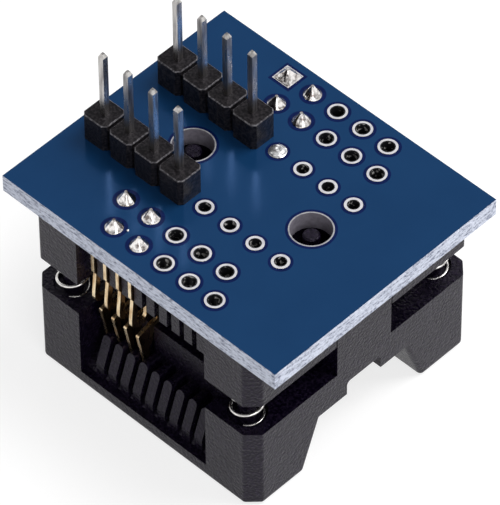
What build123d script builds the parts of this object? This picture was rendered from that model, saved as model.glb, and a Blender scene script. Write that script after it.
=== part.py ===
"""Adapter that joins a spring-loaded open-top chip socket to two rows of header pins.

Millimetres, +Z up. The adapter stands on the rim of the socket's cover, pins up, with the
origin under the middle of the board at the level of the rim. X runs along the pin rows.
"""

import os

from build123d import *

# Stack of the main pieces, from the rim of the cover up to the pin tips
cover_height = 7.90
cover_gap = 3.18
base_height = 4.73
board_thickness = 1.60
pin_rise = 8.78

# Board
board_length = 27.56
board_inset = 0.105
board_offset = -0.20
relief_hole_radius = 1.62
relief_hole_spacing = 11.96

# Pin headers
header_pitch = 2.54
header_row_spacing = 7.62
header_first_x = -11.10
header_pin_count = 4
header_place_count = 8
header_block_width = 2.50
header_block_height = 2.54
header_notch = 0.80
header_notch_turn = 45
pin_width = 0.50
pin_point_width = 0.22
pin_point_length = 0.32
pin_tail_drop = 1.10
header_drill_radius = 0.50
header_pad_radius = 0.70

# Places of the socket's contacts
contact_pitch = 1.27
contact_places = 10
contact_count = 4
bay_end_margin = 0.775
contact_row_inner = 7.20
contact_row_outer = 9.72
contact_drill_radius = 0.57
contact_pad_radius = 0.77
plating_wall = 0.06
pad_height = 0.05

# Outline that the socket's base and cover share
socket_shift = 0.12
socket_length = 22.68
socket_width = 23.36
corner_chamfer = 1.00

# Cover
cover_stroke = 2.25
cover_rim = 1.35
cover_edge = 0.45
corner_round = 0.35
arch_foot_round = 0.40
well_length = 16.00
well_width = 14.60
mouth_length = 14.40
mouth_width = 12.20
mouth_chamfer = 0.60
comb_wall = 1.40
finger_width = 0.80
finger_foot = 11.05
finger_bend_height = 2.65
finger_top = 10.15
finger_height = 5.20
finger_round = 0.36
wedge_height = 2.25
wall_slot_width = 0.50
wall_slot_depth = 3.40
arch_foot = 6.35
arch_shoulder = 4.50
arch_step_height = 4.90
arch_top = 1.80
arch_height = 6.22
arch_round = 0.40

# Latch tab on each end of the cover
tab_width = 5.70
tab_thickness = 1.70
tab_clearance = 0.10
tab_stop_gap = 0.10
hook_depth = 0.40
hook_height = 0.70
hook_seat_gap = 0.05

# Return springs
spring_from_end = 2.40
spring_from_side = 1.90
spring_radius = 1.20
spring_wire = 0.30
spring_turns = 5
spring_wire_sides = 8
spring_side_clearance = 0.15
spring_pocket_depth = 3.45
spring_recess_depth = 0.40
spring_end_gap = 0.02
spring_peg_radius = 0.75
spring_peg_height = 1.70

# Base
rib_face = 10.60
rib_height = 3.80
rib_slot_depth = 1.20
rib_inner_height = 4.33
tail_slot_inner = 6.80
tail_slot_depth = 1.30
pedestal_clearance = 0.20
pedestal_width = 14.00
seat_drop = 7.26
seat_guide_height = 1.00
seat_guide_inner = 4.30
seat_guide_gap = 0.50
seat_channel_width = 5.40
seat_channel_depth = 0.90
solder_groove_width = 2.40
solder_groove_depth = 1.70
peg_radius = 0.65
peg_rise = 1.10
peg_chamfer = 0.12
peg_recess_depth = 1.50

# Contacts: distances from the middle of the socket, and drops below the board
contact_thickness = 0.30
contact_fit = 0.03
strip_width = 0.50
bar_drop = 0.35
stem_out = 10.82
stem_end_drop = 3.30
blade_out = 10.62
blade_start_drop = 3.70
bend_start_drop = 5.70
bend_drop = 6.90
bend_radius = 0.80
inner_leg_out = 8.83
bar_round = 0.60
tail_width = 0.45
tail_rise = 0.35

# Moving arms of the contacts
pivot_out = 8.45
pivot_drop = 5.41
knuckle_radius = 0.35
leg_top_out = 8.62
leg_top_drop = 5.71
leg_foot_out = 8.20
leg_foot_drop = 7.52
leg_inner_top = 8.12
leg_inner_foot = 7.74
knee_out = 10.22
knee_drop = 8.06
knee_round = 0.15
lever_tip_outer = 9.40
lever_tip_inner = 9.00
lever_wedge_gap = 0.12
lever_neck_drop = 9.96
lever_root_out = 8.30
lever_root_drop = 8.76
arm_under_drop = 8.28
arm_over_drop = 7.76
arm_root_out = 7.60
arm_end_out = 4.15
jaw_out = 3.50
jaw_back = 3.85
jaw_drop = 7.36
jaw_nose_drop = 7.96

# Solder
solder_radius = 0.72
solder_height = 0.98
solder_waist_radius = 0.36
solder_waist_height = 0.36
solder_tip_radius = 0.24
tail_solder_radius = 0.68
tail_solder_height = 0.60
tail_solder_taper = 30
solder_fill_dome = 0.22
square_pad = 1.65

# Levels and places worked out from the sizes above
cover_top = cover_height
base_bottom = cover_top + cover_gap
board_bottom = base_bottom + base_height
board_top = board_bottom + board_thickness
pin_top = board_top + pin_rise
half_length = socket_length / 2
half_width = socket_width / 2
bay_length = contact_pitch * (contact_places - 1) + 2 * bay_end_margin
board_width = socket_width - 2 * board_inset
comb_face = well_width / 2 + comb_wall
slot_width = contact_pitch - finger_width
tail_slot_width = contact_thickness + 2 * contact_fit
tooth_width = contact_pitch - seat_guide_gap
seat_level = board_bottom - seat_drop
pedestal_length = well_length - 2 * pedestal_clearance
wedge_top = cover_rim + wedge_height
lever_tip_level = wedge_top - (lever_tip_inner - comb_face) + lever_wedge_gap
spring_x = half_length - spring_from_end
spring_y = half_width - spring_from_side
spring_floor = cover_top - spring_recess_depth
spring_roof = base_bottom + spring_pocket_depth
spring_bore = spring_radius + spring_wire / 2 + spring_side_clearance
tab_top = board_bottom - cover_stroke - tab_stop_gap
tab_inner = half_length - tab_thickness
hook_bottom = tab_top - hook_height
bar_level = board_bottom - bar_drop
bend_level = board_bottom - bend_drop
inner_leg_top = board_bottom - pivot_drop + knuckle_radius
row_y = header_row_spacing / 2
header_xs = [header_first_x + header_pitch * i for i in range(header_place_count)]
contact_xs = [
    socket_shift + contact_pitch * (i - (contact_places - 1) / 2) for i in range(contact_places)
]
live_xs = contact_xs[:contact_count]
finger_xs = [x + contact_pitch / 2 for x in contact_xs[:-1]]
sides = {"front": -1, "rear": 1}
spring_corners = {
    "front_left": (-1, -1),
    "front_right": (1, -1),
    "rear_left": (-1, 1),
    "rear_right": (1, 1),
}


def contact_row(side, index):
    """Distance of a contact's hole from the middle: the rows are staggered."""
    front = side < 0
    inner = index % 2 == 0 if front else index % 2 == 1
    return contact_row_inner if inner else contact_row_outer


contact_holes = [
    (x, side * contact_row(side, i)) for side in sides.values() for i, x in enumerate(contact_xs)
]
live_holes = [
    (x, side * contact_row(side, i)) for side in sides.values() for i, x in enumerate(live_xs)
]
open_contact_holes = [place for place in contact_holes if place not in live_holes]
header_holes = [(x, side * row_y) for side in sides.values() for x in header_xs]
pin_holes = [(x, side * row_y) for side in sides.values() for x in header_xs[:header_pin_count]]
filled_hole = (header_xs[header_pin_count], row_y)
open_header_holes = [place for place in header_holes if place not in pin_holes]
relief_holes = [
    (socket_shift - relief_hole_spacing / 2, 0),
    (socket_shift + relief_hole_spacing / 2, 0),
]


def write(part, name):
    """Label a finished piece and write it as its own STEP file."""
    part.label = name
    export_step(part, f"parts/{name}.step")


def slot_places(distance):
    """Places of all contact slots, at a distance from the middle on both sides."""
    return [(x, side * distance) for side in sides.values() for x in contact_xs]


os.makedirs("parts", exist_ok=True)

# Printed circuit board
with BuildPart() as board:
    with BuildSketch(Plane.XY.offset(board_bottom)):
        with Locations((0, board_offset)):
            Rectangle(board_length, board_width)
        with Locations(*contact_holes):
            Circle(contact_drill_radius, mode=Mode.SUBTRACT)
        with Locations(*header_holes):
            Circle(header_drill_radius, mode=Mode.SUBTRACT)
        with Locations(*relief_holes):
            Circle(relief_hole_radius, mode=Mode.SUBTRACT)
    extrude(amount=board_thickness)
write(board.part, "board")

# Tinned barrels and rings of the holes that stay open, and of the filled one
with BuildPart() as plating:
    for places, drill, pad in (
        (open_contact_holes, contact_drill_radius, contact_pad_radius),
        (open_header_holes, header_drill_radius, header_pad_radius),
    ):
        with BuildSketch(Plane.XY.offset(board_bottom)):
            with Locations(*places):
                Circle(drill)
                Circle(drill - plating_wall, mode=Mode.SUBTRACT)
        extrude(amount=board_thickness)
        with BuildSketch(Plane.XY.offset(board_top)):
            with Locations(*places):
                Circle(pad)
                Circle(drill - plating_wall, mode=Mode.SUBTRACT)
        extrude(amount=pad_height)
write(plating.part, "hole_plating")

# Square pad that marks the first contact
first_contact = (live_xs[0], contact_row(1, 0))
with BuildPart() as first_pad:
    with BuildSketch(Plane.XY.offset(board_top)):
        with Locations(first_contact):
            Rectangle(square_pad, square_pad)
            Circle(solder_radius, mode=Mode.SUBTRACT)
    extrude(amount=pad_height)
write(first_pad.part, "first_contact_pad")

# Pin headers: a notched block and four square pins in each row
for row_name, side in sides.items():
    block_x = sum(header_xs[:header_pin_count]) / header_pin_count
    block_length = header_pitch * header_pin_count
    with BuildPart() as block:
        with BuildSketch(Plane.XY.offset(board_top)):
            with Locations((block_x, side * row_y)):
                Rectangle(block_length, header_block_width)
                with GridLocations(header_pitch, header_block_width, header_pin_count + 1, 2):
                    Rectangle(header_notch, header_notch, header_notch_turn, mode=Mode.SUBTRACT)
            with Locations(*[(x, side * row_y) for x in header_xs[:header_pin_count]]):
                Rectangle(pin_width, pin_width, mode=Mode.SUBTRACT)
        extrude(amount=header_block_height)
    write(block.part, f"header_block_{row_name}")

    for index, x in enumerate(header_xs[:header_pin_count]):
        pin_bottom = board_bottom - pin_tail_drop
        half_pin, half_point = pin_width / 2, pin_point_width / 2
        outline = [
            (-half_point, pin_bottom),
            (-half_pin, pin_bottom + half_pin),
            (-half_pin, pin_top - pin_point_length),
            (-half_point, pin_top),
            (half_point, pin_top),
            (half_pin, pin_top - pin_point_length),
            (half_pin, pin_bottom + half_pin),
            (half_point, pin_bottom),
        ]
        with BuildPart() as pin:
            with BuildSketch(Plane.XZ.offset(-side * row_y)):
                with Locations((x, 0)):
                    Polygon(*outline, align=None)
            extrude(amount=half_pin, both=True)
            with BuildSketch(Plane.YZ.offset(x)):
                with Locations((side * row_y, 0)):
                    Polygon(*outline, align=None)
            extrude(amount=half_pin, both=True, mode=Mode.INTERSECT)
        write(pin.part, f"header_pin_{row_name}_{index + 1}")

# Solder under the board that holds the header pins
with BuildPart() as header_solder:
    with BuildSketch(Plane.XY.offset(board_bottom)):
        with Locations(*pin_holes):
            Circle(tail_solder_radius)
    extrude(amount=-tail_solder_height, taper=tail_solder_taper)
    with BuildSketch(Plane.XY.offset(board_bottom)):
        with Locations(*pin_holes):
            Circle(header_drill_radius)
    extrude(amount=board_thickness)
    with BuildSketch(Plane.XY.offset(board_bottom - tail_solder_height)):
        with Locations(*pin_holes):
            Rectangle(pin_width, pin_width)
    extrude(until=Until.LAST, mode=Mode.SUBTRACT)
write(header_solder.part, "header_solder")

# Header hole that was filled with solder and left without a pin: a domed button
with BuildPart() as filled:
    hole_x, hole_y = filled_hole
    dome_foot = board_top + pad_height
    with BuildSketch(Plane.XZ.offset(-hole_y)):
        with BuildLine():
            button = Polyline(
                (hole_x, dome_foot + solder_fill_dome),
                (hole_x, board_bottom),
                (hole_x + header_drill_radius - plating_wall, board_bottom),
                (hole_x + header_drill_radius - plating_wall, dome_foot),
                (hole_x + header_pad_radius, dome_foot),
            )
            TangentArc(button @ 0, button @ 1, tangent=(1, 0))
        make_face()
    revolve(axis=Axis((hole_x, hole_y, 0), (0, 0, 1)))
write(filled.part, "filled_hole_solder")

# Solder cones on the tails of the contacts
with BuildPart() as contact_solder:
    for x, y in live_holes:
        with BuildSketch(Plane.XZ.offset(-y)):
            with BuildLine():
                base_line = Polyline(
                    (x, board_top + solder_height),
                    (x, board_bottom),
                    (x + contact_drill_radius, board_bottom),
                    (x + contact_drill_radius, board_top),
                    (x + solder_radius, board_top),
                )
                ThreePointArc(
                    base_line @ 1,
                    (x + solder_waist_radius, board_top + solder_waist_height),
                    (x + solder_tip_radius, board_top + solder_height),
                )
                Line((x + solder_tip_radius, board_top + solder_height), base_line @ 0)
            make_face()
        revolve(axis=Axis((x, y, 0), (0, 0, 1)))
    with BuildSketch(Plane.XY.offset(board_bottom)):
        with Locations(*live_holes):
            Rectangle(contact_thickness, tail_width)
    extrude(amount=board_thickness + tail_rise, mode=Mode.SUBTRACT)
write(contact_solder.part, "contact_solder")

# Base of the socket
base_bay_depth = half_width - rib_face
rib_slot_inner = rib_face - rib_slot_depth
shelf_depth = rib_face - pedestal_width / 2
tail_slot_length = rib_slot_inner - tail_slot_inner
tooth_depth = pedestal_width / 2 - seat_guide_inner
tooth_y = (pedestal_width / 2 + seat_guide_inner) / 2
last_tooth = finger_xs[-1] - socket_shift + contact_pitch - tooth_width / 2
end_tooth_length = pedestal_length / 2 - last_tooth
end_tooth_x = pedestal_length / 2 - end_tooth_length / 2
channel_width = tab_width + 2 * tab_clearance
channel_depth = tab_thickness + tab_clearance
groove_depth = channel_depth + hook_depth
groove_bottom = hook_bottom - hook_seat_gap
with BuildPart() as base:
    with BuildSketch(Plane.XY.offset(base_bottom)) as outline_sketch:
        with Locations((socket_shift, 0)):
            Rectangle(socket_length, socket_width)
        chamfer(outline_sketch.vertices(), corner_chamfer)
        fillet(outline_sketch.vertices(), corner_round)
    extrude(amount=base_height)
    # pedestal that carries the chip, with guide teeth between the contact arms
    with BuildSketch(Plane.XY.offset(seat_level)):
        with Locations((socket_shift, 0)):
            Rectangle(pedestal_length, pedestal_width)
    extrude(amount=base_bottom - seat_level)
    with BuildSketch(Plane.XY.offset(seat_level - seat_guide_height)):
        with Locations(*[(x, side * tooth_y) for side in sides.values() for x in finger_xs]):
            Rectangle(tooth_width, tooth_depth)
        with Locations((socket_shift, 0)):
            with GridLocations(2 * end_tooth_x, 2 * tooth_y, 2, 2):
                Rectangle(end_tooth_length, tooth_depth)
    extrude(amount=seat_guide_height)
    with BuildSketch(Plane.XY.offset(seat_level)):
        with Locations((socket_shift, 0)):
            Rectangle(mouth_length, seat_channel_width)
    extrude(amount=seat_channel_depth, mode=Mode.SUBTRACT)
    # open bay between the corner blocks, and the slots between the ribs
    with BuildSketch(Plane.XY.offset(base_bottom)):
        with Locations((socket_shift, 0)):
            with GridLocations(bay_length, 2 * rib_face + base_bay_depth, 1, 2):
                Rectangle(bay_length, base_bay_depth)
        with Locations(*slot_places(rib_slot_inner + rib_slot_depth / 2)):
            Rectangle(slot_width, rib_slot_depth)
    extrude(amount=base_height, mode=Mode.SUBTRACT)
    with BuildSketch(Plane.XY.offset(base_bottom)):
        with Locations((socket_shift, 0)):
            with GridLocations(bay_length, 2 * rib_face - rib_slot_depth, 1, 2):
                Rectangle(bay_length, rib_slot_depth)
    extrude(amount=base_height - rib_height, mode=Mode.SUBTRACT)
    with BuildSketch(Plane.XY.offset(base_bottom)):
        with Locations((socket_shift, 0)):
            with GridLocations(bay_length, pedestal_width + shelf_depth, 1, 2):
                Rectangle(bay_length, shelf_depth)
    extrude(amount=base_height - rib_inner_height, mode=Mode.SUBTRACT)
    # slots that hold the tails of the contacts
    with BuildSketch(Plane.XY.offset(board_bottom)):
        with Locations(*slot_places(tail_slot_inner + tail_slot_length / 2)):
            Rectangle(tail_slot_width, tail_slot_length)
    extrude(amount=-tail_slot_depth, mode=Mode.SUBTRACT)
    # grooves over the header solder
    with BuildSketch(Plane.XY.offset(board_bottom)):
        with Locations((socket_shift, 0)):
            with GridLocations(socket_length, header_row_spacing, 1, 2):
                Rectangle(socket_length, solder_groove_width)
    extrude(amount=-solder_groove_depth, mode=Mode.SUBTRACT)
    # pegs in the two large holes of the board, each in a round recess
    with BuildSketch(Plane.XY.offset(board_bottom)):
        with Locations(*relief_holes):
            Circle(relief_hole_radius)
            Circle(peg_radius, mode=Mode.SUBTRACT)
    extrude(amount=-peg_recess_depth, mode=Mode.SUBTRACT)
    with BuildSketch(Plane.XY.offset(board_bottom)):
        with Locations(*relief_holes):
            Circle(peg_radius)
    extrude(amount=peg_rise)
    peg_edges = base.edges().filter_by(GeomType.CIRCLE).group_by(Axis.Z)[-1]
    chamfer(peg_edges, peg_chamfer)
    # channels for the latch tabs, each with a ledge that holds the hook
    with BuildSketch(Plane.XY.offset(base_bottom)):
        with Locations((socket_shift, 0)):
            with GridLocations(socket_length - channel_depth, 1, 2, 1):
                Rectangle(channel_depth, channel_width)
    extrude(amount=base_height, mode=Mode.SUBTRACT)
    with BuildSketch(Plane.XY.offset(groove_bottom)):
        with Locations((socket_shift, 0)):
            with GridLocations(socket_length - groove_depth, 1, 2, 1):
                Rectangle(groove_depth, channel_width)
    extrude(amount=board_bottom - groove_bottom, mode=Mode.SUBTRACT)
    # blind pockets for the springs
    with BuildSketch(Plane.XY.offset(base_bottom)):
        with Locations((socket_shift, 0)):
            with GridLocations(2 * spring_x, 2 * spring_y, 2, 2):
                Circle(spring_bore)
    extrude(amount=spring_pocket_depth, mode=Mode.SUBTRACT)
write(base.part, "socket_base")

# One finger of the cover's comb on each long side, centred on X = 0
with BuildPart() as finger:
    with BuildSketch(Plane.YZ):
        with BuildLine():
            Polyline(
                (comb_face, cover_rim),
                (finger_foot, cover_rim),
                (finger_foot, finger_bend_height),
                (finger_top, finger_height),
                (comb_face, finger_height),
                close=True,
            )
        make_face()
    extrude(amount=finger_width / 2, both=True)
    fillet(finger.edges().filter_by(Axis.Y).group_by(Axis.Z)[-1], finger_round)
    mirror(about=Plane.XZ)

# Cover of the socket
arch_depth = half_length - mouth_length / 2
with BuildPart() as cover:
    with BuildSketch() as outline_sketch:
        with Locations((socket_shift, 0)):
            Rectangle(socket_length, socket_width)
        chamfer(outline_sketch.vertices(), corner_chamfer)
        fillet(outline_sketch.vertices(), corner_round)
    extrude(amount=cover_height)
    fillet(cover.faces().sort_by(Axis.Z)[0].outer_wire().edges(), cover_edge)
    # well over the chip and its chamfered mouth
    with BuildSketch(Plane.XY.offset(cover_rim)):
        with Locations((socket_shift, 0)):
            Rectangle(well_length, well_width)
    extrude(amount=cover_height - cover_rim, mode=Mode.SUBTRACT)
    with BuildSketch():
        with Locations((socket_shift, 0)):
            Rectangle(mouth_length, mouth_width)
    extrude(amount=cover_rim, mode=Mode.SUBTRACT)
    chamfer(cover.faces().sort_by(Axis.Z)[0].inner_wires().edges(), mouth_chamfer)
    # bay in each long side, open above the rim
    cover_bay_depth = half_width - comb_face
    with BuildSketch(Plane.XY.offset(cover_rim)):
        with Locations((socket_shift, 0)):
            with GridLocations(bay_length, 2 * comb_face + cover_bay_depth, 1, 2):
                Rectangle(bay_length, cover_bay_depth)
    extrude(amount=cover_height - cover_rim, mode=Mode.SUBTRACT)
    # wedges that spread the contacts
    for side in sides.values():
        with BuildSketch(Plane.YZ.offset(socket_shift)):
            with BuildLine():
                Polyline(
                    (side * comb_face, cover_rim),
                    (side * comb_face, wedge_top),
                    (side * (comb_face + wedge_height), cover_rim),
                    close=True,
                )
            make_face()
        extrude(amount=bay_length / 2, both=True)
    with Locations(*[(x, 0, 0) for x in finger_xs]):
        add(finger.part)
    # slots where the live contacts pass through the wall behind the comb
    with BuildSketch(Plane.XY.offset(cover_top)):
        wall_middle = (well_width / 2 + comb_face) / 2
        with Locations(*[(x, side * wall_middle) for side in sides.values() for x in live_xs]):
            Rectangle(wall_slot_width, comb_wall)
    extrude(amount=-wall_slot_depth, mode=Mode.SUBTRACT)
    # arch through each end wall
    for end in (-1, 1):
        with BuildSketch(Plane.YZ.offset(socket_shift + end * half_length)) as arch:
            with BuildLine():
                Polyline(
                    (-arch_foot, 0),
                    (-arch_shoulder, arch_step_height),
                    (-arch_top, arch_step_height),
                    (-arch_top, arch_height),
                    (arch_top, arch_height),
                    (arch_top, arch_step_height),
                    (arch_shoulder, arch_step_height),
                    (arch_foot, 0),
                    close=True,
                )
            make_face()
            fillet(arch.vertices().group_by(Axis.Y)[-1], arch_round)
        extrude(amount=-end * arch_depth, mode=Mode.SUBTRACT)
    bottom_edges = cover.edges().filter_by(Axis.X).group_by(Axis.Z)[0]
    feet = [edge for edge in bottom_edges if abs(abs(edge.center().Y) - arch_foot) < arch_foot_round]
    fillet(feet, arch_foot_round)
    # latch tabs with hooks
    for end in (-1, 1):
        with BuildSketch(Plane.XZ):
            with BuildLine():
                Polyline(
                    (socket_shift + end * half_length, cover_top),
                    (socket_shift + end * half_length, tab_top),
                    (socket_shift + end * tab_inner, tab_top),
                    (socket_shift + end * (tab_inner - hook_depth), hook_bottom + hook_height / 2),
                    (socket_shift + end * (tab_inner - hook_depth), hook_bottom),
                    (socket_shift + end * tab_inner, hook_bottom),
                    (socket_shift + end * tab_inner, cover_top),
                    close=True,
                )
            make_face()
        extrude(amount=tab_width / 2, both=True)
    # recess and peg under each spring
    with BuildSketch(Plane.XY.offset(spring_floor)):
        with Locations((socket_shift, 0)):
            with GridLocations(2 * spring_x, 2 * spring_y, 2, 2):
                Circle(spring_bore)
    extrude(amount=spring_recess_depth, mode=Mode.SUBTRACT)
    with BuildSketch(Plane.XY.offset(spring_floor)):
        with Locations((socket_shift, 0)):
            with GridLocations(2 * spring_x, 2 * spring_y, 2, 2):
                Circle(spring_peg_radius)
    extrude(amount=spring_peg_height)
write(cover.part, "socket_cover")

# Return springs between the cover and the pockets of the base
helix_bottom = spring_floor + spring_wire / 2 + spring_end_gap
helix_top = spring_roof - spring_wire / 2 - spring_end_gap
for corner, (end, side) in spring_corners.items():
    spring_centre = (socket_shift + end * spring_x, side * spring_y, helix_bottom)
    with BuildPart() as spring:
        with BuildLine(Plane(origin=spring_centre)) as coil:
            Helix(
                pitch=(helix_top - helix_bottom) / spring_turns,
                height=helix_top - helix_bottom,
                radius=spring_radius,
            )
        with BuildSketch(Plane(origin=coil.line @ 0, z_dir=coil.line % 0)):
            RegularPolygon(spring_wire / 2, spring_wire_sides)
        sweep(path=coil.line, is_frenet=True)
    write(spring.part, f"spring_{corner}")

# Contacts: a fixed strip with its tail, and the arm that the cover swings
for row_name, side in sides.items():
    for index, x in enumerate(live_xs):
        tail_out = contact_row(side, index)
        with BuildPart() as contact:
            with BuildSketch(Plane.YZ.offset(x - contact_thickness / 2)):
                # the strip's outer edge, then its inner edge, joined at both ends
                with BuildLine():
                    for inset in (0, strip_width):
                        bar_end = (side * (tail_out - tail_width / 2), bar_level - inset)
                        stem_end = (side * (stem_out - inset), board_bottom - stem_end_drop)
                        bend_start = (side * (stem_out - inset), board_bottom - bend_start_drop)
                        FilletPolyline(
                            bar_end,
                            (side * (stem_out - inset), bar_level - inset),
                            stem_end,
                            radius=bar_round - inset,
                        )
                        Polyline(
                            stem_end,
                            (side * (blade_out - inset), board_bottom - blade_start_drop),
                            bend_start,
                        )
                        FilletPolyline(
                            bend_start,
                            (side * (stem_out - inset), bend_level + inset),
                            (side * (inner_leg_out + inset), bend_level + inset),
                            (side * (inner_leg_out + inset), inner_leg_top),
                            radius=bend_radius - inset,
                        )
                    Line(
                        (side * (tail_out - tail_width / 2), bar_level),
                        (side * (tail_out - tail_width / 2), bar_level - strip_width),
                    )
                    Line(
                        (side * inner_leg_out, inner_leg_top),
                        (side * (inner_leg_out + strip_width), inner_leg_top),
                    )
                make_face()
                tail_low = bar_level - strip_width
                tail_high = board_top + tail_rise
                with Locations((side * tail_out, (tail_low + tail_high) / 2)):
                    Rectangle(tail_width, tail_high - tail_low)
            extrude(amount=contact_thickness)
        write(contact.part, f"contact_{row_name}_{index + 1}")

        with BuildPart() as arm:
            with BuildSketch(Plane.YZ.offset(x - contact_thickness / 2)) as arm_face:
                arm_outline = [
                    (leg_top_out, board_bottom - leg_top_drop),
                    (leg_foot_out, board_bottom - leg_foot_drop),
                    (knee_out, board_bottom - knee_drop),
                    (lever_tip_outer, lever_tip_level),
                    (lever_tip_inner, lever_tip_level),
                    (lever_tip_inner, board_bottom - lever_neck_drop),
                    (lever_root_out, board_bottom - lever_root_drop),
                    (arm_root_out, board_bottom - arm_under_drop),
                    (jaw_back, board_bottom - arm_under_drop),
                    (jaw_out, board_bottom - jaw_nose_drop),
                    (jaw_out, board_bottom - jaw_drop),
                    (jaw_back, board_bottom - jaw_drop),
                    (arm_end_out, board_bottom - arm_over_drop),
                    (arm_root_out, board_bottom - arm_over_drop),
                    (leg_inner_foot, board_bottom - leg_foot_drop),
                    (leg_inner_top, board_bottom - pivot_drop),
                    (pivot_out, board_bottom - pivot_drop),
                ]
                with BuildLine():
                    Polyline(*[(side * out, level) for out, level in arm_outline], close=True)
                make_face()
                knee = arm_face.vertices().sort_by(Axis.X)[-1 if side > 0 else 0]
                fillet(knee, knee_round)
                with Locations((side * pivot_out, board_bottom - pivot_drop)):
                    Circle(knuckle_radius)
            extrude(amount=contact_thickness)
        write(arm.part, f"contact_arm_{row_name}_{index + 1}")
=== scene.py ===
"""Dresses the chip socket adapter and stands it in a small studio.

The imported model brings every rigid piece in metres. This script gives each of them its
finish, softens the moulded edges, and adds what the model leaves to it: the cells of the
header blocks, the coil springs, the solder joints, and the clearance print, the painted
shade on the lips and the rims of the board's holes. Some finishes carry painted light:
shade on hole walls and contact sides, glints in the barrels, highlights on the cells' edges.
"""

import logging
import math
import random
from dataclasses import dataclass, field
from enum import Enum, IntEnum
from typing import Callable, Sequence

import bmesh
import bpy
from mathutils import Matrix, Vector

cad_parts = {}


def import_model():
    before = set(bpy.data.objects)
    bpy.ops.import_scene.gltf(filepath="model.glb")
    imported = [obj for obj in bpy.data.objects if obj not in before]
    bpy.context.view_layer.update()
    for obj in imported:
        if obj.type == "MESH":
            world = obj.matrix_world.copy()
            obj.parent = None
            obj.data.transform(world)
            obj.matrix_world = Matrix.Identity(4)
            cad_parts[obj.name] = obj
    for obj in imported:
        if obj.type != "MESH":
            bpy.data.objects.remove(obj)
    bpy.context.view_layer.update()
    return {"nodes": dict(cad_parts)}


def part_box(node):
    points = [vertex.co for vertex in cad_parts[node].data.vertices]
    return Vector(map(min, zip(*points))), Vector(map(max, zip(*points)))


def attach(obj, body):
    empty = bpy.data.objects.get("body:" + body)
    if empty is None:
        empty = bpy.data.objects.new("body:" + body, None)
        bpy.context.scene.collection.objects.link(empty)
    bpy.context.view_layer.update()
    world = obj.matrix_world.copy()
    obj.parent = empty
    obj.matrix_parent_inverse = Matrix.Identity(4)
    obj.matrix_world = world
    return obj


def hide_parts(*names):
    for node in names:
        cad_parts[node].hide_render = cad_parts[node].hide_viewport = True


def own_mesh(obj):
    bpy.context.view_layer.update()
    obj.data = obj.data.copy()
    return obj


MM = 0.001
ADAPTER_BODY = "adapter"
NOISE_LOW = 0.3
NOISE_HIGH = 0.7
FACE_LEAN = 0.5
EDGE_SEGMENTS = 3
EDGE_ANGLE = math.radians(32)
FACET_SMOOTH = 35.0
ROUND_SMOOTH = 60.0
Colour = tuple[float, float, float]
Point = tuple[float, float, float]
Place = tuple[float, float]
Rings = Sequence[Sequence[bmesh.types.BMVert]]
log = logging.getLogger("adapter")


class Slot(Enum):
    """The material slots of the record that new pieces belong to."""

    BOARD = "board_laminate"
    TIN = "tin"
    SOLDER = "solder"
    HEADER = "header_plastic"
    SPRING = "spring_steel"


class Row(IntEnum):
    """The two sides of the adapter, as the sign of their Y."""

    FRONT = -1
    REAR = 1

    def numbered(self, stem: str, count: int) -> list[str]:
        """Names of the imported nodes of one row.

        Args:
            stem: Start of the names.
            count: How many nodes the row has.

        Returns:
            The names, numbered from 1.
        """
        return [f"{stem}_{self.name.lower()}_{index}" for index in range(1, count + 1)]


class Axis(Enum):
    """The axes that a face can be told apart by."""

    X = "X"
    Z = "Z"


@dataclass(frozen=True)
class Noise:
    """Cells per metre, octaves and stretch of a noise pattern."""

    scale: float
    octaves: float
    stretch: Point = (1.0, 1.0, 1.0)


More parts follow.
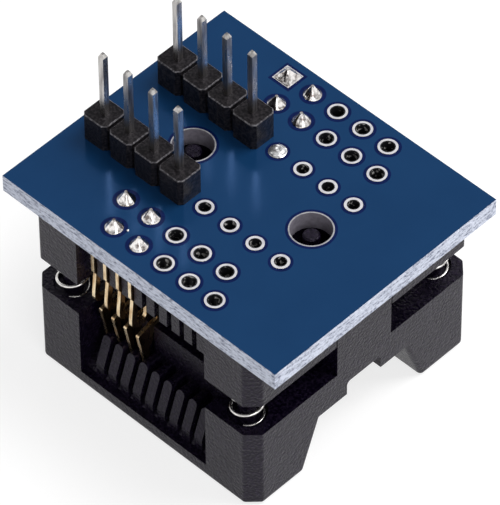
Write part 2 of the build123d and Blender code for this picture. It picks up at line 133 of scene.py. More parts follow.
class NodeSheet:
    """A node tree with short ways to add and join its nodes."""

    def __init__(self, tree: bpy.types.NodeTree) -> None:
        """Keep the tree and put its texture coordinates at hand.

        Args:
            tree: Node tree of a material or of the world.
        """
        self.tree = tree
        self.coordinates = self.add("ShaderNodeTexCoord")

    def add(self, kind: str, **values: object) -> bpy.types.Node:
        """Add a node and set its sockets.

        Args:
            kind: Blender's name of the node type.
            **values: Socket values, with spaces in socket names written as underscores.

        Returns:
            The new node.
        """
        node = self.tree.nodes.new(kind)
        for key, value in values.items():
            node.inputs[key.replace("_", " ")].default_value = value
        return node

    def link(self, source: bpy.types.NodeSocket, target: bpy.types.NodeSocket) -> None:
        """Join two sockets."""
        self.tree.links.new(source, target)

    def noise(self, pattern: Noise) -> bpy.types.NodeSocket:
        """Noise over the object's own coordinates.

        Args:
            pattern: Size and fineness of the noise.

        Returns:
            The noise value's socket.
        """
        mapping = self.add("ShaderNodeMapping", Scale=pattern.stretch)
        texture = self.add("ShaderNodeTexNoise", Scale=pattern.scale, Detail=pattern.octaves)
        self.link(self.coordinates.outputs["Object"], mapping.inputs["Vector"])
        self.link(mapping.outputs["Vector"], texture.inputs["Vector"])
        return texture.outputs["Fac"]

    def ramp(
        self, value: bpy.types.NodeSocket, stops: Sequence[tuple[float, Colour]]
    ) -> bpy.types.NodeSocket:
        """Map a value to colours.

        Args:
            value: Socket with values from 0 to 1.
            stops: Positions and their colours.

        Returns:
            The colour's socket.
        """
        node = self.add("ShaderNodeValToRGB")
        elements = node.color_ramp.elements
        while len(elements) < len(stops):
            elements.new(1.0)
        for element, (position, colour) in zip(elements, stops):
            element.position = position
            element.color = (*colour, 1.0)
        self.link(value, node.inputs["Fac"])
        return node.outputs["Color"]

    def span(
        self,
        value: bpy.types.NodeSocket,
        low: float,
        high: float,
        weak: float = NOISE_LOW,
        strong: float = NOISE_HIGH,
    ) -> bpy.types.NodeSocket:
        """Spread a value, by default noise, which seldom leaves its middle, over a range.

        Args:
            value: The value's socket.
            low: Result where the value is weak.
            high: Result where the value is strong.
            weak: Value that gives the low result.
            strong: Value that gives the high result.

        Returns:
            The mapped value's socket.
        """
        node = self.add("ShaderNodeMapRange", From_Min=weak, From_Max=strong, To_Min=low, To_Max=high)
        self.link(value, node.inputs["Value"])
        return node.outputs["Result"]

    def switch(self, factor: bpy.types.NodeSocket, off: float, on: float) -> bpy.types.NodeSocket:
        """One number where a factor is 0 and another where it is 1.

        Args:
            factor: The factor's socket.
            off: Result for a factor of 0.
            on: Result for a factor of 1.

        Returns:
            The number's socket.
        """
        return self.span(factor, off, on, 0.0, 1.0)

    def mix(
        self,
        factor: bpy.types.NodeSocket,
        first: bpy.types.NodeSocket,
        second: bpy.types.NodeSocket,
    ) -> bpy.types.NodeSocket:
        """Blend two colours by a factor.

        Args:
            factor: Socket with the share of the second colour.
            first: Socket of the first colour.
            second: Socket of the second colour.

        Returns:
            The blended colour's socket.
        """
        node = self.add("ShaderNodeMix")
        node.data_type = "RGBA"
        self.link(factor, node.inputs["Factor"])
        self.link(first, node.inputs["A"])
        self.link(second, node.inputs["B"])
        return node.outputs["Result"]

    def choose(
        self,
        factor: bpy.types.NodeSocket,
        first: bpy.types.NodeSocket,
        second: bpy.types.NodeSocket,
    ) -> bpy.types.NodeSocket:
        """Blend two shaders by a factor.

        Args:
            factor: Socket with the share of the second shader.
            first: Socket of the first shader.
            second: Socket of the second shader.

        Returns:
            The blended shader's socket.
        """
        node = self.add("ShaderNodeMixShader")
        self.link(factor, node.inputs["Fac"])
        self.link(first, node.inputs[1])
        self.link(second, node.inputs[2])
        return node.outputs["Shader"]

    def reckon(
        self, operation: str, value: bpy.types.NodeSocket, other: float | bpy.types.NodeSocket = 0.0
    ) -> bpy.types.NodeSocket:
        """Do one sum on a value.

        Args:
            operation: Blender's name of the operation.
            value: The first value's socket.
            other: The second value, as a number or a socket.

        Returns:
            The result's socket.
        """
        node = self.add("ShaderNodeMath")
        node.operation = operation
        self.link(value, node.inputs[0])
        if isinstance(other, float):
            node.inputs[1].default_value = other
        else:
            self.link(other, node.inputs[1])
        return node.outputs["Value"]

    def facing(self, axis: Axis, along: bool = False) -> bpy.types.NodeSocket:
        """Factor that picks faces by how far their normal leans along an axis.

        Args:
            axis: The axis.
            along: True for the faces that look along the axis, False for those that look across it.

        Returns:
            The factor's socket: 1 on the picked faces, 0 on the others.
        """
        geometry = self.add("ShaderNodeNewGeometry")
        split = self.add("ShaderNodeSeparateXYZ")
        self.link(geometry.outputs["Normal"], split.inputs["Vector"])
        lean = self.reckon("ABSOLUTE", split.outputs[axis.value])
        return self.reckon("GREATER_THAN" if along else "LESS_THAN", lean, FACE_LEAN)


class Paint(NodeSheet):
    """A new material's node tree with its shader at hand."""

    def __init__(self, name: str) -> None:
        """Start an empty material.

        Args:
            name: Name of the material.
        """
        self.material = bpy.data.materials.new(name)
        self.material.use_nodes = True
        super().__init__(self.material.node_tree)
        self.shader = self.tree.nodes["Principled BSDF"]

    def feed(self, **sources: bpy.types.NodeSocket) -> None:
        """Join sources to the shader's sockets, whose names have underscores for spaces."""
        for key, source in sources.items():
            self.link(source, self.shader.inputs[key.replace("_", " ")])

    def set(self, **values: object) -> None:
        """Set the shader's own sockets, whose names have underscores for spaces."""
        for key, value in values.items():
            self.shader.inputs[key.replace("_", " ")].default_value = value

    def bump(self, height: bpy.types.NodeSocket, depth: float) -> None:
        """Roughen the surface.

        Args:
            height: Socket of the height, from 0 to 1.
            depth: Height of the relief in metres.
        """
        node = self.add("ShaderNodeBump", Strength=1.0, Distance=depth)
        self.link(height, node.inputs["Height"])
        self.feed(Normal=node.outputs["Normal"])


@dataclass(frozen=True)
class Coat:
    """A finish with the name of its material; each kind lays its own nodes."""

    name: str

    def build(self) -> bpy.types.Material:
        """Make the material.

        Returns:
            The Blender material.
        """
        paint = Paint(self.name)
        self.lay(paint)
        return paint.material

    def lay(self, paint: Paint) -> None:
        """Lay the finish's nodes on a new material."""
        raise NotImplementedError


@dataclass(frozen=True)
class MouldedPlastic(Coat):
    """Black glass-filled plastic with a fine spark-eroded grain."""

    dark: Colour
    pale: Colour
    roughness: float
    sheen: Colour
    index: float = 1.45
    grain: float = 5200.0
    grain_octaves: float = 3
    grain_depth: float = 0.014 * MM
    dark_until: float = 0.42
    pale_from: float = 0.66
    cloud_ratio: float = 5
    cloud_octaves: float = 2
    shine_spread: float = 0.03

    def lay(self, paint: Paint) -> None:
        """Paint the grain, with shine that varies in clouds.

        Args:
            paint: The new material's sheet.
        """
        grain = paint.noise(Noise(self.grain, self.grain_octaves))
        cloud = paint.noise(Noise(self.grain / self.cloud_ratio, self.cloud_octaves))
        colour = paint.ramp(grain, [(self.dark_until, self.dark), (self.pale_from, self.pale)])
        rough = paint.span(cloud, self.roughness - self.shine_spread, self.roughness + self.shine_spread)
        paint.feed(Base_Color=colour, Roughness=rough)
        paint.set(IOR=self.index, Specular_Tint=(*self.sheen, 1.0))
        paint.bump(grain, self.grain_depth)


@dataclass(frozen=True)
class MaskedLaminate(Coat):
    """Glossy solder mask on both faces of a board whose cut edge shows its glass layers."""

    mask: Colour
    mask_deep: Colour
    glass: Colour
    glass_shade: Colour
    roughness: float = 0.17
    edge_roughness: float = 0.75
    copper_below: float = 0.35
    index: float = 1.30
    cloud: Noise = Noise(260, 3)
    layers: Noise = Noise(1500, 4, (0.8, 0.8, 3))
    layer_stops: Place = (0.40, 0.54)
    fibres: Noise = Noise(6500, 3, (0.7, 0.7, 1.2))
    fibre_stops: Place = (0.36, 0.50)
    least_frayed: float = 0.2
    most_frayed: float = 0.8
    fray_depth: float = 0.06 * MM

    def lay(self, paint: Paint) -> None:
        """Paint the mask on the faces, and layers of glass with frayed fibres on the cut edge.

        Args:
            paint: The new material's sheet.
        """
        cloud = paint.noise(self.cloud)
        mask = paint.ramp(cloud, [(NOISE_LOW, self.mask_deep), (NOISE_HIGH, self.mask)])
        tones = (self.glass_shade, self.glass)
        glass = paint.ramp(paint.noise(self.layers), list(zip(self.layer_stops, tones)))
        fibres = paint.noise(self.fibres)
        frayed = paint.ramp(fibres, list(zip(self.fibre_stops, tones)))
        edge = paint.mix(paint.span(fibres, self.least_frayed, self.most_frayed), glass, frayed)
        side = paint.facing(Axis.Z)
        paint.feed(
            Base_Color=paint.mix(side, mask, edge),
            Roughness=paint.switch(side, self.roughness, self.edge_roughness),
            Metallic=paint.switch(side, self.copper_below, 0.0),
        )
        paint.set(IOR=self.index)
        paint.bump(paint.reckon("MULTIPLY", fibres, side), self.fray_depth)


@dataclass(frozen=True)
class PaintedSideShade:
    """Painted shade, with painted glints where given, for the faces that look along an axis, or across
    it.
    """

    axis: Axis
    along: bool
    shade_tone: Colour
    glint: Colour | None = None
    lift: float = 1.3
    tone_until: float = 0.34
    lifted_from: float = 0.57
    glint_from: float = 0.62

    def stops(self) -> list[tuple[float, Colour]]:
        """Stops of the painted shade's ramp.

        Returns:
            The shade tone, the shade tone lifted, and the painted glint where there is one.
        """
        lifted = tuple(self.lift * channel for channel in self.shade_tone)
        stops = [(self.tone_until, self.shade_tone), (self.lifted_from, lifted)]
        return stops + [(self.glint_from, self.glint)] if self.glint else stops


@dataclass(frozen=True)
class Metal(Coat):
    """Plated, drawn or soldered metal with fine unevenness in its shine."""

    bright: Colour
    dull: Colour
    roughness: float
    spread: float = 0.08
    patches: Noise = Noise(2500, 3)
    dull_until: float = 0.34
    bright_from: float = 0.6
    relief: float = 0.004 * MM
    metallic: float = 1.0
    # Painted shade, with painted glints where given, on the faces picked by their normal.
    side: PaintedSideShade | None = None

    def lay(self, paint: Paint) -> None:
        """Paint the patches of shine, and the painted side shade where there is one.

        Args:
            paint: The new material's sheet.
        """
        patches = paint.noise(self.patches)
        colour = paint.ramp(patches, [(self.dull_until, self.dull), (self.bright_from, self.bright)])
        # Painted side shade: the picked faces take the shade tone's ramp instead of the metal's own.
        if self.side:
            picked = paint.facing(self.side.axis, self.side.along)
            colour = paint.mix(picked, colour, paint.ramp(patches, self.side.stops()))
        rough = paint.span(patches, self.roughness + self.spread, self.roughness - self.spread)
        paint.feed(Base_Color=colour, Roughness=rough)
        paint.set(Metallic=self.metallic)
        paint.bump(patches, self.relief)


@dataclass(frozen=True)
class ClearanceInk(Coat):
    """The darker blue where the mask stands clear of the copper around a pad."""

    deep: Colour
    pale: Colour
    colour_noise: Noise = Noise(1500, 2)
    deep_until: float = 0.35
    pale_from: float = 0.65
    shine_noise: Noise = Noise(3000, 2)
    smoothest: float = 0.16
    roughest: float = 0.25
    index: float = 1.2

    def lay(self, paint: Paint) -> None:
        """Paint the blue, with a slightly uneven shine.

        Args:
            paint: The new material's sheet.
        """
        stops = [(self.deep_until, self.deep), (self.pale_from, self.pale)]
        paint.feed(
            Base_Color=paint.ramp(paint.noise(self.colour_noise), stops),
            Roughness=paint.span(paint.noise(self.shine_noise), self.smoothest, self.roughest),
        )
        paint.set(IOR=self.index)


class Finish(Enum):
    """Every finish of the adapter."""

    SOCKET_PLASTIC = MouldedPlastic(
        "socket_black_plastic",
        dark=(0.0012, 0.0003, 0.0045),
        pale=(0.0110, 0.0072, 0.0185),
        roughness=0.27,
        sheen=(0.90, 0.84, 1.0),
        index=1.32,
        grain=4600.0,
        grain_depth=0.078 * MM,
    )
    HEADER_PLASTIC = MouldedPlastic(
        "header_black_plastic",
        dark=(0.0040, 0.0035, 0.0045),
        pale=(0.0250, 0.0225, 0.0250),
        roughness=0.34,
        sheen=(0.96, 0.92, 1.0),
        index=1.25,
        grain_depth=0.030 * MM,
    )
    # Painted highlight: a paler grey for the sloped faces of the header cells' softened top edges.
    WORN_EDGE = MouldedPlastic(
        "header_worn_edge",
        dark=(0.020, 0.019, 0.022),
        pale=(0.160, 0.155, 0.165),
        roughness=0.40,
        sheen=(0.96, 0.92, 1.0),
    )
    LAMINATE = MaskedLaminate(
        "blue_mask_and_laminate",
        mask=(0.0090, 0.0555, 0.162),
        mask_deep=(0.0078, 0.0510, 0.152),
        glass=(0.68, 0.72, 0.84),
        glass_shade=(0.17, 0.19, 0.27),
    )
    CLEARANCE = ClearanceInk(
        "clearance_dark_blue", deep=(0.002, 0.009, 0.060), pale=(0.003, 0.012, 0.078)
    )
    TIN = Metal(
        "tinned_pad",
        bright=(0.80, 0.79, 0.81),
        dull=(0.60, 0.59, 0.63),
        roughness=0.42,
        metallic=0.35,
        # Painted shade and painted glints: faces that look across Z, the walls of pads and barrels, are
        # near black with rare bright glints.
        side=PaintedSideShade(Axis.Z, False, (0.012, 0.012, 0.015), glint=(0.80, 0.78, 0.76)),
    )
    # Painted shade: near-black metal for the flat rings that stand for the shade on the open holes'
    # rounded lips.
    PAINTED_LIP_SHADE = Metal(
        "rounded_hole_lip",
        bright=(0.030, 0.030, 0.034),
        dull=(0.012, 0.012, 0.015),
        roughness=0.45,
        metallic=0.35,
    )
    HOLE_RIM = Metal(
        "large_hole_plating",
        bright=(0.50, 0.50, 0.52),
        dull=(0.30, 0.30, 0.33),
        roughness=0.40,
        metallic=0.35,
        # Painted shade: the hole walls, which look across Z, take a darker grey than the rim.
        side=PaintedSideShade(Axis.Z, False, (0.28, 0.26, 0.31)),
    )
    SOLDER = Metal(
        "shiny_solder",
        bright=(0.92, 0.89, 0.87),
        dull=(0.20, 0.17, 0.16),
        roughness=0.14,
        spread=0.05,
    )
    DULL_SOLDER = Metal(
        "frosted_solder",
        bright=(0.97, 0.97, 0.97),
        dull=(0.28, 0.27, 0.28),
        roughness=0.28,
        metallic=0.8,
        patches=Noise(3600, 3),
    )
    PIN = Metal(
        "tinned_pin",
        bright=(0.60, 0.58, 0.56),
        dull=(0.22, 0.21, 0.21),
        roughness=0.30,
        patches=Noise(2500, 3, (1.0, 1.0, 0.12)),
    )
    GOLD = Metal(
        "gold_contact",
        bright=(0.95, 0.78, 0.52),
        dull=(0.58, 0.38, 0.19),
        roughness=0.28,
        patches=Noise(2500, 3, (1.0, 1.0, 0.3)),
        # Painted shade: faces that look along X take a darker bronze copy of the gold.
        side=PaintedSideShade(Axis.X, True, (0.24, 0.155, 0.09)),
    )
    SPRING = Metal(
        "spring_wire", bright=(0.86, 0.84, 0.82), dull=(0.60, 0.58, 0.57), roughness=0.2
    )


class Maker:
    """Builds mesh pieces, dresses them and rides them on the adapter's body."""

    def __init__(self, nodes: dict[str, bpy.types.Object]) -> None:
        """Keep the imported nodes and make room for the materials.

        Args:
            nodes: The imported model's objects by name.
        """
        self.nodes = nodes
        self.built: dict[Finish, bpy.types.Material] = {}

    def material(self, finish: Finish) -> bpy.types.Material:
        """The material of a finish, made when it is first asked for.

        Args:
            finish: The finish.

        Returns:
            The Blender material.
        """
        if finish not in self.built:
            self.built[finish] = finish.value.build()
        return self.built[finish]

    def piece(
        self,
        name: str,
        shape: bmesh.types.BMesh,
        finish: Finish,
        slot: Slot,
        smooth_angle: float = FACET_SMOOTH,
    ) -> bpy.types.Object:
        """Turn a shape into a finished piece.

        Args:
            name: Name of the piece.
            shape: Its mesh, in the model's frame.
            finish: Its finish.
            slot: Material slot of the record; not used.
            smooth_angle: Edges flatter than this many degrees are shaded smooth.

        Returns:
            The new object.
        """
        mesh = bpy.data.meshes.new(name)
        bmesh.ops.recalc_face_normals(shape, faces=shape.faces)
        for face in shape.faces:
            face.smooth = True
        for edge in shape.edges:
            edge.smooth = len(edge.link_faces) == 2 and (
                edge.calc_face_angle() < math.radians(smooth_angle)
            )
        shape.to_mesh(mesh)
        shape.free()
        obj = bpy.data.objects.new(name, mesh)
        bpy.context.scene.collection.objects.link(obj)
        obj.data.materials.append(self.material(finish))
        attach(obj, ADAPTER_BODY)
        log.info("piece %s with %d faces", name, len(mesh.polygons))
        return obj

    def dress(self, names: Sequence[str], finish: Finish, edge: float = 0.0) -> None:
        """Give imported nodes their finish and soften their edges.

        Args:
            names: Names of the nodes.
            finish: Their finish.
            edge: Width of the softened edge in metres, or 0 for none.
        """
        for name in names:
            node = self.nodes[name]
            for material_slot in node.material_slots:
                material_slot.material = self.material(finish)
            if not node.material_slots:
                node.data.materials.append(self.material(finish))
            if edge:
                bevel = node.modifiers.new("soft_edge", "BEVEL")
                bevel.width = edge
                bevel.segments = EDGE_SEGMENTS
                bevel.limit_method = "ANGLE"
                bevel.angle_limit = EDGE_ANGLE
                bevel.harden_normals = True
            log.info("node %s in %s", name, finish.name.lower())


def top_of(node: str) -> float:
    """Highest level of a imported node."""
    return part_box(node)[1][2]


def flat_section(inner: float, outer: float, rise: float) -> list[Place]:
    """Corners of the section of a thin flat ring, as radius and height."""
    return [(outer, 0), (outer, rise), (inner, rise), (inner, 0)]


def skin(shape: bmesh.types.BMesh, rings: Rings, closed: bool = False) -> None:
    """Join rings of points with faces, from each ring to the next.

    Args:
        shape: Mesh that takes the faces.
        rings: Rings with the same number of points.
        closed: True to join the last ring to the first, False to cap both ends.
    """
    for first, second in zip(rings, [*rings[1:], rings[0]] if closed else rings[1:]):
        for index in range(len(first)):
            following = (index + 1) % len(first)
            shape.faces.new((first[index], first[following], second[following], second[index]))
    if not closed:
        shape.faces.new(rings[0])
        shape.faces.new(rings[-1])


def lathe(
    shape: bmesh.types.BMesh,
    centre: Point,
    profile: Sequence[Place],
    steps: int = 40,
    closed: bool = False,
    wobble: Callable[[float, float], float] | None = None,
) -> None:
    """Turn a profile about a vertical axis.

    Args:
        shape: Mesh that takes the faces.
        centre: Point on the axis where the profile's height is 0.
        profile: Radius and height of each corner.
        steps: Faces round the axis.
        closed: True for a ring whose profile runs back to its first corner.
        wobble: Factor on the radius by angle and height, or None.
    """
    rings = []
    for radius, height in profile:
        ring = []
        for step in range(steps):
            angle = 2 * math.pi * step / steps
            reach = radius * (wobble(angle, height) if wobble else 1.0)
            x = centre[0] + reach * math.cos(angle)
            y = centre[1] + reach * math.sin(angle)
            ring.append(shape.verts.new((x, y, centre[2] + height)))
        rings.append(ring)
    skin(shape, rings, closed)


def tube(shape: bmesh.types.BMesh, path: Sequence[Vector], radius: float, sides: int = 10) -> None:
    """Sweep a round wire along a path.

    Args:
        shape: Mesh that takes the faces.
        path: Points along the middle of the wire.
        radius: Radius of the wire.
        sides: Faces round the wire.
    """
    rings = []
    for index, point in enumerate(path):
        ahead = path[min(index + 1, len(path) - 1)]
        behind = path[max(index - 1, 0)]
        along = (ahead - behind).normalized()
        across = along.cross(Vector((0, 0, 1))).normalized()
        upward = across.cross(along)
        ring = []
        for side in range(sides):
            angle = 2 * math.pi * side / sides
            spoke = across * (radius * math.cos(angle)) + upward * (radius * math.sin(angle))
            ring.append(shape.verts.new(point + spoke))
        rings.append(ring)
    skin(shape, rings)


@dataclass
class HoleGrid:
    """Places of the board's holes, in metres."""

    header_pitch: float = 2.54 * MM
    header_first: float = -11.10 * MM
    header_row: float = 3.81 * MM
    header_places: int = 8
    header_pins: int = 4
    contact_pitch: float = 1.27 * MM
    contact_middle: float = 0.12 * MM
    contact_places: int = 10
    contact_live: int = 4
    row_inner: float = 7.20 * MM
    row_outer: float = 9.72 * MM

    def header(self, row: Row, index: int) -> Place:
        """X and Y of a header hole."""
        return self.header_first + self.header_pitch * index, row * self.header_row

    def contact(self, row: Row, index: int) -> Place:
        """Place of a contact hole; each row's holes are staggered.

        Args:
            row: Side of the adapter.
            index: Number of the hole, from 0.

        Returns:
            Its X and Y.
        """
        x = self.contact_middle + self.contact_pitch * (index - (self.contact_places - 1) / 2)
        inner = index % 2 == (0 if row == Row.FRONT else 1)
        return x, row * (self.row_inner if inner else self.row_outer)

    def filled_hole(self) -> Place:
        """X and Y of the header hole that solder fills."""
        return self.header(Row.REAR, self.header_pins)

    def first_pad(self) -> Place:
        """X and Y of the square first pad."""
        return self.contact(Row.REAR, 0)

    def bare_header_holes(self) -> list[Place]:
        """The header holes without a pin, with the one that solder fills."""
        places = range(self.header_pins, self.header_places)
        return [self.header(row, index) for row in Row for index in places]

    def open_contact_holes(self) -> list[Place]:
        """The contact holes without a contact."""
        places = range(self.contact_live, self.contact_places)
        return [self.contact(row, index) for row in Row for index in places]

    def live_contact_holes(self) -> list[Place]:
        """The contact holes that are soldered."""
        return [self.contact(row, index) for row in Row for index in range(self.contact_live)]


@dataclass
class Board:
    """The circuit board with its plated holes, clearance print and rims."""

    maker: Maker
    holes: HoleGrid
    print_rise: float = 0.006 * MM
    header_pad: float = 0.70 * MM
    header_clear: float = 0.93 * MM
    contact_pad: float = 0.77 * MM
    contact_clear: float = 1.02 * MM
    live_pad: float = 0.71 * MM
    square_pad: float = 1.65 * MM
    square_clear: float = 0.22 * MM
    header_barrel: float = 0.44 * MM
    header_lip_shade: float = 0.49 * MM
    contact_barrel: float = 0.51 * MM
    contact_lip_shade: float = 0.585 * MM
    lip_shade_rise: float = 0.003 * MM
    large_hole_spacing: float = 11.96 * MM
    rim_radius: float = 1.62 * MM
    rim_width: float = 0.08 * MM
    rim_clear: float = 0.22 * MM
    rim_steps: int = 64
    wall_lining: float = 0.03 * MM
    top: float = field(init=False)
    thickness: float = field(init=False)

    def __post_init__(self) -> None:
        """Read the levels of the board's faces."""
        low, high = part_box("board")
        self.top = high[2]
        self.thickness = high[2] - low[2]

    def build(self) -> None:
        """Dress the board and add its print, the painted shade on its hole lips, and its rims."""
        self.maker.dress(["board"], Finish.LAMINATE)
        # The tin finish carries painted shade and painted glints on the barrel walls.
        self.maker.dress(["hole_plating", "first_contact_pad"], Finish.TIN)
        self.print_clearance()
        self.paint_lip_shade()
        self.rim_large_holes()

    def flat_ring(self, shape: bmesh.types.BMesh, place: Place, inner: float, outer: float) -> None:
        """A thin printed ring on the board.

        Args:
            shape: Mesh that takes the faces.
            place: X and Y of its middle.
            inner: Inner radius.
            outer: Outer radius.
        """
        section = flat_section(inner, outer, self.print_rise)
        lathe(shape, (*place, self.top), section, closed=True)

    def print_clearance(self) -> None:
        """Rings of darker blue round every pad, and a square one round the first pad."""
        shape = bmesh.new()
        for place in self.holes.bare_header_holes():
            self.flat_ring(shape, place, self.header_pad, self.header_clear)
        for place in self.holes.open_contact_holes():
            self.flat_ring(shape, place, self.contact_pad, self.contact_clear)
        for place in self.holes.live_contact_holes():
            if place != self.holes.first_pad():
                self.flat_ring(shape, place, self.live_pad, self.contact_clear)
        self.square_frame(shape, *self.holes.first_pad())
        self.maker.piece("clearance_print", shape, Finish.CLEARANCE, Slot.BOARD)

    def paint_lip_shade(self) -> None:
        """A flat ring of painted shade where each open plated hole turns down into its barrel, standing
        for the shade on its rounded lip.
        """
        shape = bmesh.new()
        pads = top_of("hole_plating")
        for places, inner, outer in (
            (self.holes.bare_header_holes(), self.header_barrel, self.header_lip_shade),
            (self.holes.open_contact_holes(), self.contact_barrel, self.contact_lip_shade),
        ):
            section = flat_section(inner, outer, self.lip_shade_rise)
            for place in places:
                if place != self.holes.filled_hole():
                    lathe(shape, (*place, pads), section, closed=True)
        self.maker.piece("hole_lip_shade", shape, Finish.PAINTED_LIP_SHADE, Slot.TIN)

    def square_frame(self, shape: bmesh.types.BMesh, x: float, y: float) -> None:
        """The square clearance round the first pad.

        Args:
            shape: Mesh that takes the faces.
            x: X of its middle.
            y: Y of its middle.
        """
        half = self.square_pad / 2
        loops = []
        for reach, height in flat_section(half, half + self.square_clear, self.print_rise):
            signs = [(1, 1), (-1, 1), (-1, -1), (1, -1)]
            loop = [(x + a * reach, y + b * reach, self.top + height) for a, b in signs]
            loops.append([shape.verts.new(corner) for corner in loop])
        skin(shape, loops, closed=True)

    def rim_large_holes(self) -> None:
        """A plated wall with painted shade and a bright rim in each large hole, and clear mask round it.
        """
        rim = bmesh.new()
        clear = bmesh.new()
        edge = self.rim_radius
        outer = edge + self.rim_width
        inner = edge - self.wall_lining
        rise = 2 * self.print_rise
        profile = [
            (outer, 0),
            (outer, rise),
            (inner, rise),
            (inner, -self.thickness),
            (edge, -self.thickness),
            (edge, 0),
        ]
        for end in (-1, 1):
            x = self.holes.contact_middle + end * self.large_hole_spacing / 2
            lathe(rim, (x, 0, self.top), profile, self.rim_steps, closed=True)
            self.flat_ring(clear, (x, 0), outer, outer + self.rim_clear)
        self.maker.piece("large_hole_rims", rim, Finish.HOLE_RIM, Slot.BOARD)
        self.maker.piece("large_hole_clearance", clear, Finish.CLEARANCE, Slot.BOARD)


@dataclass
class Headers:
    """The two rows of header pins with their blocks of square cells."""

    maker: Maker
    holes: HoleGrid
    cell_chamfer: float = 0.31 * MM
    cell_gap: float = 0.28 * MM
    cell_inset: float = 0.05 * MM
    cell_smooth: float = 30.0
    top_edge: float = 0.08 * MM
    web_drop: float = 0.40 * MM
    web_half: float = 0.80 * MM
    highlight_low: float = 0.3
    highlight_high: float = 0.95
    pin_edge: float = 0.05 * MM

    def build(self) -> None:
        """Make the blocks and dress the pins."""
        for row in Row:
            self.block(f"header_block_{row.name.lower()}")
        for row in Row:
            pins = row.numbered("header_pin", self.holes.header_pins)
            self.maker.dress(pins, Finish.PIN, self.pin_edge)
        self.maker.dress(["header_solder"], Finish.SOLDER)

    def block(self, node: str) -> None:
        """Four cells with grooves between them, joined by lower webs.

        Args:
            node: Name of the block's node.
        """
        shape = bmesh.new()
        low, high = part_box(node)
        half = self.holes.header_pitch / 2
        for index in range(self.holes.header_pins):
            x = self.holes.header(Row.REAR, index)[0]
            left = low[0] if index == 0 else x - half + self.cell_gap / 2
            right = high[0] if index == self.holes.header_pins - 1 else x + half - self.cell_gap / 2
            front, back = low[1] + self.cell_inset, high[1] - self.cell_inset
            self.cell(shape, (left, front, low[2]), (right, back, high[2]))
            if index:
                self.web(shape, x - half, (low[1] + high[1]) / 2, low[2], high[2] - self.web_drop)
        name = node.replace("block", "cells")
        block = self.maker.piece(name, shape, Finish.HEADER_PLASTIC, Slot.HEADER, self.cell_smooth)
        # Painted highlight: faces whose normal leans between the two limits, which are the softened top
        # edges, take the pale edge finish.
        block.data.materials.append(self.maker.material(Finish.WORN_EDGE))
        for face in block.data.polygons:
            face.material_index = int(self.highlight_low < face.normal.z < self.highlight_high)
        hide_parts(node)

    def cell(self, shape: bmesh.types.BMesh, low: Point, high: Point) -> None:
        """One cell: a square post with cut corners and a softened top edge.

        Args:
            shape: Mesh that takes the faces.
            low: Its lowest corner.
            high: Its highest corner.
        """
        rings = []
        for level, inset in ((low[2], 0.0), (high[2] - self.top_edge, 0.0), (high[2], self.top_edge)):
            x0, x1 = low[0] + inset, high[0] - inset
            y0, y1 = low[1] + inset, high[1] - inset
            cut = self.cell_chamfer - inset * (2 - math.sqrt(2))
            corners = [
                (x0 + cut, y0),
                (x1 - cut, y0),
                (x1, y0 + cut),
                (x1, y1 - cut),
                (x1 - cut, y1),
                (x0 + cut, y1),
                (x0, y1 - cut),
                (x0, y0 + cut),
            ]
            rings.append([shape.verts.new((x, y, level)) for x, y in corners])
        skin(shape, rings)

    def web(self, shape: bmesh.types.BMesh, x: float, y: float, bottom: float, top: float) -> None:
        """The bridge between two cells.

        Args:
            shape: Mesh that takes the faces.
            x: Middle of the groove.
            y: Middle of the row.
            bottom: Level of its underside.
            top: Level of its top, under the cells' tops.
        """
        size = (self.cell_gap, 2 * self.web_half, top - bottom)
        middle = Matrix.Translation((x, y, (top + bottom) / 2))
        bmesh.ops.create_cube(shape, size=1.0, matrix=middle @ Matrix.Diagonal((*size, 1.0)))


@dataclass(frozen=True)
class SolderCone:
    """One drawn-up cone of solder, with creases and, on the first pad, a square foot."""

    foot: float
    height: float
    phase: float
    lobes: float
    square: bool
    tip: float = 0.12 * MM
    foot_height: float = 0.05 * MM
    foot_shrink: float = 0.985
    shoulder: float = 0.95
    hollow: float = 1.2
    rings: int = 14
    crease_depth: float = 0.20
    crease_level: float = 0.6
    corner_reach: float = 1.36
    square_fade: float = 0.5

    def profile(self) -> list[Place]:
        """Profile of the cone.

        Returns:
            Radius and height of each ring, from the foot to the tip.
        """
        profile = [(self.foot, 0.0), (self.foot * self.foot_shrink, self.foot_height)]
        for ring in range(1, self.rings + 1):
            share = ring / self.rings
            radius = self.tip + (self.foot * self.shoulder - self.tip) * (1 - share) ** self.hollow
            profile.append((radius, self.foot_height + (self.height - self.foot_height) * share))
        return profile

    def reach(self, angle: float, level: float) -> float:
        """Factor on the radius, for the creases and the square foot.

        Args:
            angle: Angle round the axis.
            level: Height over the pad.

        Returns:
            The factor.
        """
        share = min(max(level / self.height, 0.0), 1.0)
        crease = abs(math.sin(self.lobes * angle + self.phase)) - self.crease_level
        reach = 1 + self.crease_depth * math.sin(math.pi * share) * crease
        if self.square:
            corner = 1 / max(abs(math.cos(angle)), abs(math.sin(angle)))
            reach *= 1 + (min(corner, self.corner_reach) - 1) * (1 - share) ** self.square_fade
        return reach


